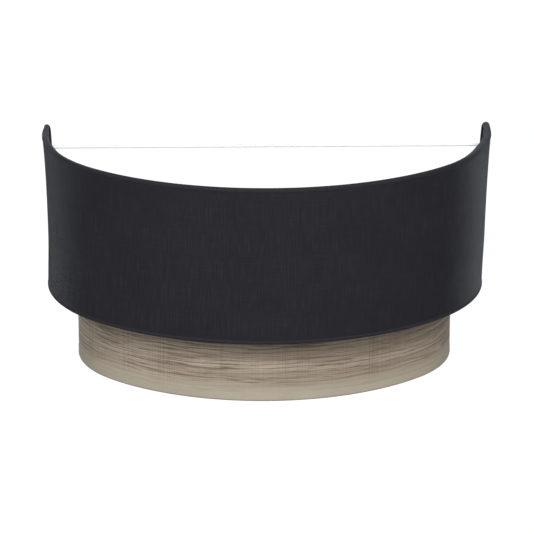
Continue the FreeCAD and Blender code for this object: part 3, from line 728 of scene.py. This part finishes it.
def hoop_hem(band, at_top, settle, strip=0):
    """Rings of the rolled edge round a band's upper or lower hoop."""
    height = band.top if at_top else band.bottom
    edge = Vector((0, 0, 1 if at_top else -1))
    rings = []
    for point, outward in band.stations(band.inset, band.back + band.corner):
        uneven = noise.noise(Vector((point.x * hem_rate, point.y * hem_rate, height * hoop_rate_up)))
        radius = band.roll * (1 + hoop_waver * uneven)
        centre = point + Vector((0, 0, height))
        tail = sizes().turn_in + uneven * hoop_tail_waver
        section = roll_section(band, radius, tail, strip, corner_slack(band, centre))
        rings.append([settle(centre + outward * out + edge * off) for out, off in section])
    return rings


def end_line(band, side):
    """The bent line of a back post: points, and directions towards the edge, from top to bottom."""
    upper = band.top - band.corner
    lower = band.bottom + band.corner
    bends = []
    for height, start in ((upper, 90), (lower, 0)):
        centre = Vector((side, -band.back - band.corner, height))
        bend = []
        for index in range(corner_steps + 1):
            angle = math.radians(start - 90 * index / corner_steps)
            edge = Vector((0, math.cos(angle), math.sin(angle)))
            bend.append((centre + edge * band.corner, edge))
        bends.append(bend)
    upper = bends[0][-1][0].z
    run = []
    for index in range(1, post_steps):
        z = upper + (lower - upper) * index / post_steps
        run.append((Vector((side, -band.back, z)), Vector((0, 1, 0))))
    return bends[0] + run + bends[1]


def end_hem(band, sign, settle):
    """Rings of the rolled edge round a band's left or right back post."""
    outward = Vector((sign, 0, 0))
    rings = []
    for point, edge in end_line(band, sign * (band.side - band.inset)):
        level = smooth(edge.y, 0.0, 1.0)
        near = min(band.top - point.z, point.z - band.bottom)
        uneven = noise.noise(Vector((point.x * hem_rate, end_noise_layer, point.z * hem_rate)))
        radius = (band.roll + (band.end_roll - band.roll) * level) * end_cover
        wide = smooth(near, band.corner, 3 * band.corner)
        tail = end_tail + (sizes().turn_in - end_tail + uneven * end_tail_waver) * wide
        section = roll_section(band, radius, tail, 0, corner_slack(band, point))
        rings.append([settle(point + outward * out + edge * off) for out, off in section])
    return rings


# Wires and their welds

hoop_steps = 96
back_wire_steps = 60
back_wire_sides = 16
spokes = ["spacer_wire_%d" % number for number in range(1, 5)]
# From the upper inner and the lower outer end of a spoke to its bead: outward, to the wall and up
inner_bead = (2.5 * mm, -1.5 * mm, -2.6 * mm)
outer_bead = (-1.9 * mm, 1.5 * mm, 0.6 * mm)
# How far the back wire's beads stand from their posts' centres towards the middle, in radii of a post
post_bead = 0.8
bead_levels = 9
bead_sides = 14
bead_pole = 0.35
bead_lumps = 0.12


def bead_spots(outer, inner):
    """Where wires are welded: the hanging wire, the back wire, and both ends of each spoke."""
    hanging_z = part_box("hanging_wire")[0].z
    spots = [Vector((sign * (inner.side - inner.inset), -inner.back, hanging_z)) for sign in (-1, 1)]
    low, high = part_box("upper_cross_wire")
    reach = outer.side - outer.inset - outer.post * post_bead
    for sign in (-1, 1):
        spots.append(lean(Vector((sign * reach, -outer.back, (low.z + high.z) / 2))))
    for spoke in spokes:
        low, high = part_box(spoke)
        near, far = sorted((abs(low.x), abs(high.x)))
        sign = 1 if low.x > 0 else -1
        out, back, up = inner_bead
        spots.append(Vector((sign * (near + out), high.y + back, high.z + up)))
        out, back, up = outer_bead
        spots.append(lean(Vector((sign * (far + out), low.y + back, low.z + up))))
    return spots


def bead(spot, number):
    """Rings of an uneven ball. The number sets its lumps."""
    rings = []
    for level in range(bead_levels):
        tilt = math.pi * (level + bead_pole) / (bead_levels - 1 + 2 * bead_pole)
        wide = math.sin(tilt)
        ring = []
        for step in range(bead_sides):
            angle = math.tau * step / bead_sides
            way = Vector((math.cos(angle) * wide, math.sin(angle) * wide, math.cos(tilt)))
            lump = 1 + bead_lumps * noise.noise(way * 2 + Vector((number, 0, 0)))
            ring.append(spot + way * sizes().bead_radius * lump)
        rings.append(ring)
    return rings


# The pieces

outer_rows = 24
outer_ripple = 0.25 * mm
inner_rows = 16
inner_ripple = 0.2 * mm
hoops = (("top", True), ("bottom", False))
ends = (("left", -1), ("right", 1))


class LAMP_OT_outer_band(Operator):
    """Builds the dark cloth cover and the white lining of the outer band"""

    bl_idname = "lamp.outer_band"
    bl_label = "Outer band"

    def execute(self, context):
        band = Band("outer", "fabric")
        tints = colours()
        cover = cloth("dark_cloth", tints.cloth, tints.cloth_high)
        rings = sheet(band, 0, band.lining_face, outer_rows, lean, outer_ripple)
        piece("outer_cover", rings, cover, ["outer_fabric"])
        lining = sheet_lining("outer_lining", tints.lining)
        rings = sheet(band, band.lining_face, lining_thickness, outer_rows, lean, outer_ripple)
        piece("outer_lining", rings, lining, ["outer_liner"])
        return {"FINISHED"}


class LAMP_OT_outer_hems(Operator):
    """Rolls the dark cloth round the outer band's wires, with its edge glued inside"""

    bl_idname = "lamp.outer_hems"
    bl_label = "Outer hems"

    def execute(self, context):
        band = Band("outer", "fabric")
        tints = colours()
        hem = cloth("dark_hem", tints.hem, tints.cloth_high, True)
        for name, at_top in hoops:
            nodes = ["outer_%s_trim" % name]
            rings = hoop_hem(band, at_top, lean)
            piece("outer_%s_hem" % name, rings, hem, nodes, ladder=False)
        for name, sign in ends:
            nodes = ["outer_%s_end_trim" % name]
            rings = end_hem(band, sign, lean)
            piece("outer_%s_hem" % name, rings, hem, nodes, ladder=False)
        line = [point for point, _ in band.stations(0, band.back + sheet_setback)]
        reach = sum((after - before).length for before, after in zip(line, line[1:]))
        return {"FINISHED"}


class LAMP_OT_inner_band(Operator):
    """Builds the wood-look cover and the white lining of the inner band"""

    bl_idname = "lamp.inner_band"
    bl_label = "Inner band"

    def execute(self, context):
        band = Band("inner", "veneer")
        rings = sheet(band, 0, band.lining_face, inner_rows, still, inner_ripple)
        piece("inner_cover", rings, wood("grey_wood"), ["inner_veneer"])
        lining = sheet_lining("inner_lining", colours().lining)
        rings = sheet(band, band.lining_face, lining_thickness, inner_rows, still, inner_ripple)
        piece("inner_lining", rings, lining, ["inner_liner"])
        return {"FINISHED"}


class LAMP_OT_inner_hems(Operator):
    """Folds the plain tape round the inner band's edges"""

    bl_idname = "lamp.inner_hems"
    bl_label = "Inner hems"

    def execute(self, context):
        band = Band("inner", "veneer")
        finish = tape("beige_tape", colours().tape)
        strip = sizes().tape_height - band.roll
        for name, at_top in hoops:
            nodes = ["inner_%s_trim" % name]
            rings = hoop_hem(band, at_top, still, 0 if at_top else strip)
            piece("inner_%s_hem" % name, rings, finish, nodes, ladder=False)
        for name, sign in ends:
            nodes = ["inner_%s_end_trim" % name]
            rings = end_hem(band, sign, still)
            piece("inner_%s_hem" % name, rings, finish, nodes, ladder=False)
        return {"FINISHED"}


class LAMP_OT_wire_frame(Operator):
    """Builds the coated wires that lean with the cloth, and the beads of their welds"""

    bl_idname = "lamp.wire_frame"
    bl_label = "Wire frame"

    def execute(self, context):
        band = Band("outer", "fabric")
        enamel = coating("white_enamel", colours().enamel, 0.3, 900, 0.2)
        side = band.side - band.inset
        hoop = [point for point, _ in band.stations(band.inset, band.back + band.corner, hoop_steps)]
        for name, at_top in hoops:
            height = Vector((0, 0, band.top if at_top else band.bottom))
            rings = tube([lean(point + height) for point in hoop], band.wire)
            piece("outer_%s_hoop" % name, rings, enamel, ["outer_%s_wire" % name])
        for name, sign in ends:
            rings = tube([lean(point) for point, _ in end_line(band, sign * side)], band.post)
            piece("outer_%s_back_post" % name, rings, enamel, ["outer_%s_post" % name])
        self.back_wire(band, side, enamel)
        dress(enamel, "inner_top_wire", "inner_bottom_wire", "inner_left_post", "inner_right_post")
        dress(enamel, "hanging_wire", *spokes)
        for number, spot in enumerate(bead_spots(band, Band("inner", "veneer"))):
            piece("weld_bead_%d" % (number + 1), bead(spot, number), enamel, [])
        return {"FINISHED"}

    def back_wire(self, band, side, enamel):
        """The level wire across the back, below the top rim."""
        low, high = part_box("upper_cross_wire")
        line = []
        for index in range(back_wire_steps + 1):
            x = side * (2 * index / back_wire_steps - 1)
            line.append(lean(Vector((x, -band.back, (high.z + low.z) / 2))))
        rings = tube(line, (high.z - low.z) / 2, back_wire_sides)
        piece("back_wire", rings, enamel, ["upper_cross_wire"])


class LAMP_OT_wall_unit(Operator):
    """Finishes the wall plate, the canopy, its screws and the ring in the cable hole"""

    bl_idname = "lamp.wall_unit"
    bl_label = "Wall unit"

    def execute(self, context):
        zinc = metal("zinc_plate", paint(196, 198, 200), paint(160, 163, 168), 0.32, (40, 40, 1400))
        powder = coating("white_powder", colours().powder, 0.42, 1500)
        rubber = coating("black_rubber", paint(22, 22, 23), 0.75, 2400, 0.4)
        dress(zinc, "wall_plate", "arm_nut", "arm_washer")
        dress(powder, "canopy", "canopy_screws", "arm_tube", "arm_collar")
        dress(rubber, "cable_bush")
        return {"FINISHED"}


class LAMP_OT_lampholder(Operator):
    """Finishes the lampholder"""

    bl_idname = "lamp.lampholder"
    bl_label = "Lampholder"

    def execute(self, context):
        plastic = coating("white_moulding", colours().moulding, 0.3, 1100, 0.15)
        ceramic = glossy("white_ceramic", paint(232, 229, 222), 0.16)
        brass = metal("drawn_brass", paint(214, 178, 104), paint(176, 140, 78), 0.24, (1200, 1200, 60))
        steel = metal("screw_steel", paint(200, 200, 198), paint(150, 150, 150), 0.28, (700, 700, 700))
        dress(plastic, "holder_dome", "holder_skirt")
        dress(ceramic, "holder_insert")
        dress(brass, "holder_sleeve", "holder_side_contact", "holder_centre_contact", "holder_terminals")
        dress(steel, "holder_terminal_screws", "holder_lock_screw")
        return {"FINISHED"}


class LAMP_OT_bulb(Operator):
    """Finishes the bulb"""

    bl_idname = "lamp.bulb"
    bl_label = "Bulb"

    def execute(self, context):
        glow = {"subsurface_weight": 0.2, "subsurface_scale": 10 * mm}
        opal = glossy("opal_glass", paint(246, 246, 243), 0.28, **glow)
        neck = coating("bulb_neck", colours().moulding, 0.38, 1300, 0.1)
        cap = metal("bright_cap", paint(214, 214, 212), paint(186, 186, 186), 0.18, (60, 60, 1600))
        glass = glossy("black_glass", paint(14, 14, 16), 0.08)
        board = coating("white_board", paint(236, 236, 228), 0.5, 900, 0.2)
        dress(opal, "bulb_globe")
        dress(neck, "bulb_housing")
        dress(cap, "bulb_cap", "bulb_tip")
        dress(glass, "bulb_insulator")
        dress(board, "bulb_board")
        return {"FINISHED"}


class LAMP_OT_wiring(Operator):
    """Finishes the terminal block, the screws and the leads inside the canopy"""

    bl_idname = "lamp.wiring"
    bl_label = "Wiring"

    def execute(self, context):
        block = coating("milky_block", paint(226, 224, 212), 0.45, 700, 0.2)
        brass = bpy.data.materials["drawn_brass"]
        steel = bpy.data.materials["screw_steel"]
        dress(block, "terminal_block")
        dress(brass, "terminal_tubes", "earth_tag", "earth_screw")
        dress(steel, "terminal_screws", "terminal_block_screw")
        dress(coating("brown_lead", paint(92, 54, 32), 0.4, 1200, 0.1), "live_lead")
        dress(coating("blue_lead", paint(44, 84, 158), 0.4, 1200, 0.1), "neutral_lead")
        dress(stripes("earth_lead", paint(70, 140, 48), paint(226, 204, 58), 1.1 * mm), "earth_lead")
        return {"FINISHED"}


# The stage, in metres and watts

# Name, place, width and power of each lamp
stage_lamps = (
    ("key", (0.12, -2.35, 1.38), 1.4, 77),
    ("top", (0, -0.3, 2.0), 1.0, 3),
    ("left", (-2.1, -0.4, 0.7), 1.0, 8),
    ("right", (2.1, -0.9, 0.7), 1.0, 0.7),
    ("behind", (0.2, 2.0, 1.5), 1.6, 15),
)
lamp_target = (0, -0.1, 0.05)
floor_reach = 12
floor_height = -0.62
floor_squares = 24
floor_glow = 1.45
floor_glow_share = 0.7
seen_light = 0.96
other_light = 0.04
camera_x = -0.04357
camera_y = -2.09954
camera_over_rim = 0.57294
camera_tilt = 0.3204
camera_turn = -0.022
camera_lens = 181.5
camera_sensor = 36


class LAMP_OT_stage(Operator):
    """Places the floor, the lights, the surroundings and the camera"""

    bl_idname = "lamp.stage"
    bl_label = "Stage"

    def execute(self, context):
        self.floor(context)
        self.surroundings(context)
        for lamp in stage_lamps:
            self.lamp(context, *lamp)
        self.camera(context)
        return {"FINISHED"}

    def floor(self, context):
        """A pale floor that glows for the camera, so that shadows hardly show on it."""
        shape = bmesh.new()
        bmesh.ops.create_grid(shape, x_segments=floor_squares, y_segments=floor_squares, size=floor_reach)
        mesh = bpy.data.meshes.new("floor")
        shape.to_mesh(mesh)
        shape.free()
        made = bpy.data.objects.new("floor", mesh)
        made.location.z = floor_height
        context.collection.objects.link(made)
        finish = Finish("pale_floor", roughness=0.9, specular_ior_level=0.1)
        finish.paint(paint(140, 140, 140))
        glow = finish.add("Emission", None, {"Strength": floor_glow})
        blend = finish.add("MixShader", None, (finish.seen() * floor_glow_share, finish.shader, glow))
        finish.feed(finish.output.node.inputs["Surface"], blend)
        mesh.materials.append(finish.material)

    def surroundings(self, context):
        """White where they are seen, and almost dark as a light."""
        world = bpy.data.worlds.new("surroundings")
        context.scene.world = world
        world.use_nodes = True
        nodes = Nodes(world.node_tree)
        strength = nodes.seen() * seen_light + other_light
        background = nodes.add("Background", None, {"Color": (1, 1, 1), "Strength": strength})
        nodes.add("OutputWorld", None, {"Surface": background})

    def lamp(self, context, name, place, width, power):
        light = bpy.data.lights.new(name, "AREA")
        light.shape = "DISK"
        light.size = width
        light.energy = power
        made = bpy.data.objects.new(name, light)
        made.location = place
        made.rotation_euler = (Vector(lamp_target) - Vector(place)).to_track_quat("-Z", "Y").to_euler()
        context.collection.objects.link(made)

    def camera(self, context):
        """A long lens 2.1 m from the wall and 0.57 m above the rim, tilted down."""
        data = bpy.data.cameras.new("camera")
        data.sensor_width = camera_sensor
        data.lens = camera_lens
        made = bpy.data.objects.new("camera", data)
        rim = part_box("outer_top_trim")[1].z
        made.location = (camera_x, camera_y, rim + camera_over_rim)
        made.rotation_euler = (math.pi / 2 - camera_tilt, 0, camera_turn)
        context.collection.objects.link(made)
        context.scene.camera = made
        context.scene.view_settings.view_transform = "Standard"


class LAMP_PT_sidebar(Panel):
    bl_idname = "LAMP_PT_sidebar"
    bl_label = "Wall lamp"
    bl_space_type = "VIEW_3D"
    bl_region_type = "UI"
    bl_category = "Wall lamp"

    def draw(self, context):
        for group in (context.scene.lamp_sizes, context.scene.lamp_colours):
            column = self.layout.column()
            for name in group.bl_rna.properties.keys():
                if name not in ("rna_type", "name"):
                    column.prop(group, name)
        for operator in operators:
            self.layout.operator(operator.bl_idname)


operators = (
    LAMP_OT_outer_band,
    LAMP_OT_outer_hems,
    LAMP_OT_inner_band,
    LAMP_OT_inner_hems,
    LAMP_OT_wire_frame,
    LAMP_OT_wall_unit,
    LAMP_OT_lampholder,
    LAMP_OT_bulb,
    LAMP_OT_wiring,
    LAMP_OT_stage,
)
classes = (LampSizes, LampColours) + operators + (LAMP_PT_sidebar,)


def register():
    for one in classes:
        bpy.utils.register_class(one)
    bpy.types.Scene.lamp_sizes = PointerProperty(type=LampSizes)
    bpy.types.Scene.lamp_colours = PointerProperty(type=LampColours)


def unregister():
    del bpy.types.Scene.lamp_colours
    del bpy.types.Scene.lamp_sizes
    for one in reversed(classes):
        bpy.utils.unregister_class(one)


def main():
    register()
    bpy.ops.lamp.outer_band()
    bpy.ops.lamp.outer_hems()
    bpy.ops.lamp.inner_band()
    bpy.ops.lamp.inner_hems()
    bpy.ops.lamp.wire_frame()
    bpy.ops.lamp.wall_unit()
    bpy.ops.lamp.lampholder()
    bpy.ops.lamp.bulb()
    bpy.ops.lamp.wiring()
    bpy.ops.lamp.stage()


if __name__ == "__main__":
    main()
